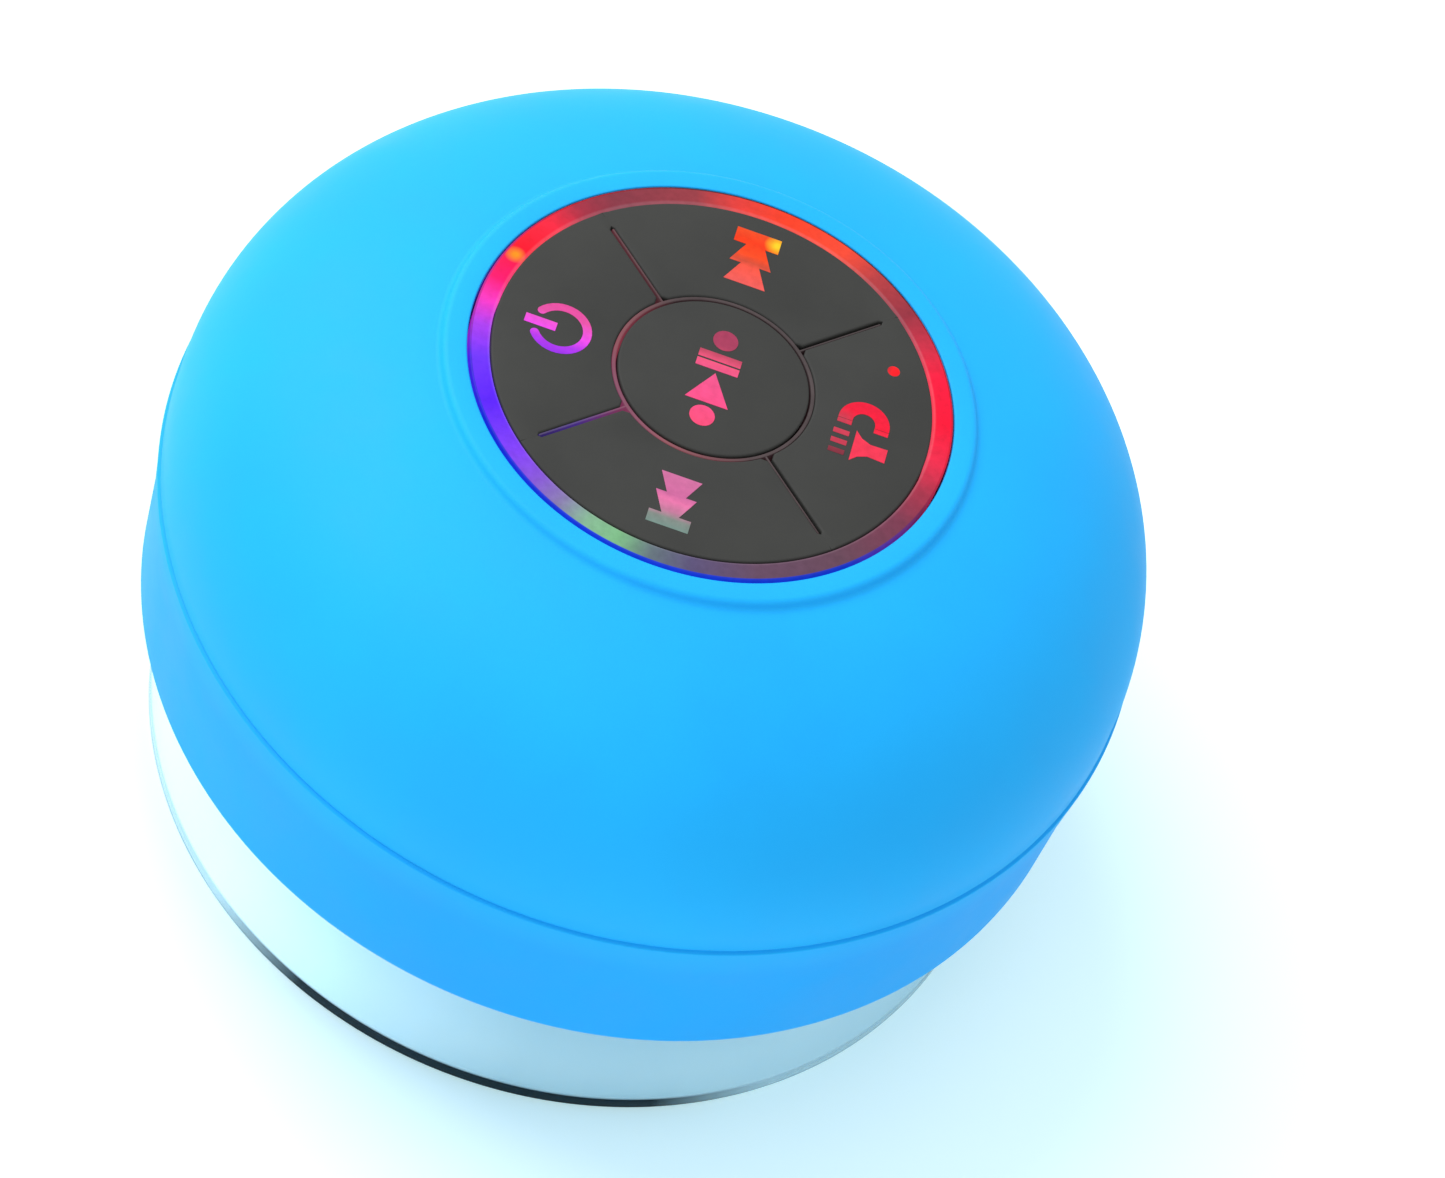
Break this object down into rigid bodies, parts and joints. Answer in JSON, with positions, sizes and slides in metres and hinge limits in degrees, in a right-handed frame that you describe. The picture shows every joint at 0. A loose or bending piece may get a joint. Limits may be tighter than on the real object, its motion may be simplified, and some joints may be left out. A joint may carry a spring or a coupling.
{
  "type": "shower speaker",
  "caption": "Small round wireless speaker with a soft domed sleeve, a lit ring round a rubber keypad on top and a clear suction cup below for a wet wall.",
  "frame": {"origin": "middle of the suction cup rim, on the plane that sits on a tile", "axes": "+Z out of the wall, through the keypad; the keys run along Y with next at -Y, the charging port is at +Y"},
  "size_m": [0.086, 0.086, 0.0521],
  "materials": {
    "blue_silicone": "soft matte silicone",
    "key_rubber": "matte moulded rubber",
    "web_rubber": "matte",
    "ring_diffuser": "milky diffuser lit from below",
    "indicator_lens": "clear red lens",
    "shell_plastic": "fine texture",
    "clear_silicone": "clear soft silicone, smooth",
    "black_rubber": "matte",
    "board_laminate": "solder mask",
    "steel": "plated",
    "black_plastic": "moulded",
    "led_lens": "clear resin",
    "ferrite": "ground ferrite",
    "cone_paper": "pressed pulp",
    "copper": "enamelled wire",
    "spider_cloth": "resin-dipped weave",
    "grille_cloth": "fine mesh",
    "foam": "closed-cell foam",
    "battery_foil": "laminated foil pouch",
    "red_wire": "insulation",
    "black_wire": "insulation"
  },
  "bodies": {
    "housing": {"amplifier_chip": "black_plastic", "battery_cell": "battery_foil", "battery_lead": "red_wire", "battery_pad": "foam", "bluetooth_chip": "black_plastic", "board_screw_1": "steel", "board_screw_2": "steel", "board_screw_3": "steel", "cone_spider": "spider_cloth", "cone_surround": "black_rubber", "driver_frame": "black_plastic", "driver_gasket": "foam", "driver_lead": "black_wire", "driver_magnet": "ferrite", "driver_top_plate": "steel", "driver_yoke": "steel", "filter_capacitor": "black_plastic", "grille_cloth": "grille_cloth", "keypad_web": "web_rubber", "light_ring": "ring_diffuser", "lower_shell": "shell_plastic", "main_board": "board_laminate", "microphone": "steel", "ring_led_1": "led_lens", "ring_led_2": "led_lens", "ring_led_3": "led_lens", "ring_led_4": "led_lens", "ring_led_5": "led_lens", "ring_led_6": "led_lens", "shell_screw_1": "steel", "shell_screw_2": "steel", "shell_screw_3": "steel", "shell_screw_4": "steel", "shell_seal": "black_rubber", "silicone_sleeve": "blue_silicone", "tact_switch_next": "steel", "tact_switch_phone": "steel", "tact_switch_play": "steel", "tact_switch_power": "steel", "tact_switch_previous": "steel", "upper_shell": "shell_plastic", "usb_board": "board_laminate", "usb_socket": "steel"},
    "play_key": {"key_play": "key_rubber"},
    "play_plunger": {"tact_plunger_play": "black_plastic"},
    "previous_key": {"key_previous": "key_rubber"},
    "previous_plunger": {"tact_plunger_previous": "black_plastic"},
    "next_key": {"key_next": "key_rubber"},
    "next_plunger": {"tact_plunger_next": "black_plastic"},
    "power_key": {"key_power": "key_rubber"},
    "power_plunger": {"tact_plunger_power": "black_plastic"},
    "phone_key": {"key_phone": "key_rubber", "indicator_lens": "indicator_lens"},
    "phone_plunger": {"tact_plunger_phone": "black_plastic"},
    "cone": {"driver_cone": "cone_paper", "dust_cap": "cone_paper", "voice_coil": "copper"},
    "port_cover": {"usb_cover": "blue_silicone"},
    "swivel_ring": {"stem_ring": "black_rubber"},
    "cup": {"suction_cup": "clear_silicone"}
  },
  "joints": [
    {"name": "play_press", "type": "slide", "parent": "housing", "child": "play_key", "axis": [0, 0, -1], "range_m": [0, 0.0005], "stiffness_N_per_m": 2500},
    {"name": "previous_press", "type": "slide", "parent": "housing", "child": "previous_key", "axis": [0, 0, -1], "range_m": [0, 0.0005], "stiffness_N_per_m": 2500},
    {"name": "next_press", "type": "slide", "parent": "housing", "child": "next_key", "axis": [0, 0, -1], "range_m": [0, 0.0005], "stiffness_N_per_m": 2500},
    {"name": "power_press", "type": "slide", "parent": "housing", "child": "power_key", "axis": [0, 0, -1], "range_m": [0, 0.0005], "stiffness_N_per_m": 2500},
    {"name": "phone_press", "type": "slide", "parent": "housing", "child": "phone_key", "axis": [0, 0, -1], "range_m": [0, 0.0005], "stiffness_N_per_m": 2500},
    {"name": "play_click", "type": "slide", "parent": "housing", "child": "play_plunger", "axis": [0, 0, -1], "range_m": [0, 0.00025]},
    {"name": "previous_click", "type": "slide", "parent": "housing", "child": "previous_plunger", "axis": [0, 0, -1], "range_m": [0, 0.00025]},
    {"name": "next_click", "type": "slide", "parent": "housing", "child": "next_plunger", "axis": [0, 0, -1], "range_m": [0, 0.00025]},
    {"name": "power_click", "type": "slide", "parent": "housing", "child": "power_plunger", "axis": [0, 0, -1], "range_m": [0, 0.00025]},
    {"name": "phone_click", "type": "slide", "parent": "housing", "child": "phone_plunger", "axis": [0, 0, -1], "range_m": [0, 0.00025]},
    {"name": "cone_travel", "type": "slide", "parent": "housing", "child": "cone", "axis": [0, 0, -1], "range_m": [-0.001, 0.001], "stiffness_N_per_m": 900, "deforming": ["cone_surround", "cone_spider"]},
    {"name": "cover_hinge", "type": "hinge", "parent": "housing", "child": "port_cover", "pos_m": [0, 0.0424, 0.0194], "axis": [-1, 0, 0], "range_deg": [0, 100], "stiffness_Nm_per_rad": 0.002},
    {"name": "cup_swivel", "type": "hinge", "parent": "housing", "child": "swivel_ring", "pos_m": [0, 0, 0.02], "axis": [0, 0, 1], "continuous": true},
    {"name": "cup_pull", "type": "slide", "parent": "swivel_ring", "child": "cup", "axis": [0, 0, -1], "range_m": [0, 0.016]}
  ],
  "couplings": [
    {"joint": "play_click", "follows": "play_press", "ratio": 0.5},
    {"joint": "previous_click", "follows": "previous_press", "ratio": 0.5},
    {"joint": "next_click", "follows": "next_press", "ratio": 0.5},
    {"joint": "power_click", "follows": "power_press", "ratio": 0.5},
    {"joint": "phone_click", "follows": "phone_press", "ratio": 0.5}
  ]
}
